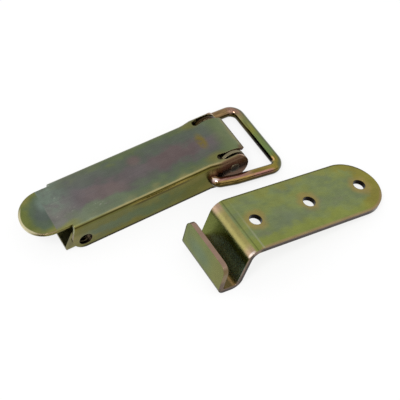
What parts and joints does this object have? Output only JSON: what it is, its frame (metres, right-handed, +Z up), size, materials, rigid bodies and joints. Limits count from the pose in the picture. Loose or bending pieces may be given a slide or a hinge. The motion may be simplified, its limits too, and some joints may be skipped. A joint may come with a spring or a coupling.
{
  "type": "over-centre latch",
  "caption": "Over-centre latch: pressed lever on a channel base draws a wire loop over a separate hooked catch plate; a padlock hole crosses lever and base.",
  "frame": {"origin": "on the base's underside, midway between its two mounting holes", "axes": "+X along the lever from the handle to the loop, +Y to the far side away from the catch plate, +Z up off the mounting surface"},
  "size_m": [0.1596, 0.0919, 0.0206],
  "materials": {
    "plated_lever": "yellow chromate over zinc, iridescent",
    "plated_base": "yellow chromate over zinc, iridescent",
    "plated_wire": "yellow chromate over zinc, brown and glossy",
    "plated_pin": "yellow chromate over zinc, brown",
    "plated_catch": "yellow chromate over zinc, iridescent"
  },
  "bodies": {
    "base": {"base": "plated_base", "spacer_near": "plated_pin", "spacer_far": "plated_pin", "catch_plate": "plated_catch"},
    "lever": {"lever": "plated_lever", "pivot_pin": "plated_pin"},
    "loop": {"loop": "plated_wire"}
  },
  "joints": [
    {"name": "lever_hinge", "type": "hinge", "parent": "base", "child": "lever", "pos_m": [0.047, 0, 0.0096], "axis": [0, 1, 0], "range_deg": [0, 90]},
    {"name": "loop_hinge", "type": "hinge", "parent": "lever", "child": "loop", "pos_m": [0.0358, 0, 0.0075], "axis": [0, -1, 0], "range_deg": [0, 165]}
  ]
}
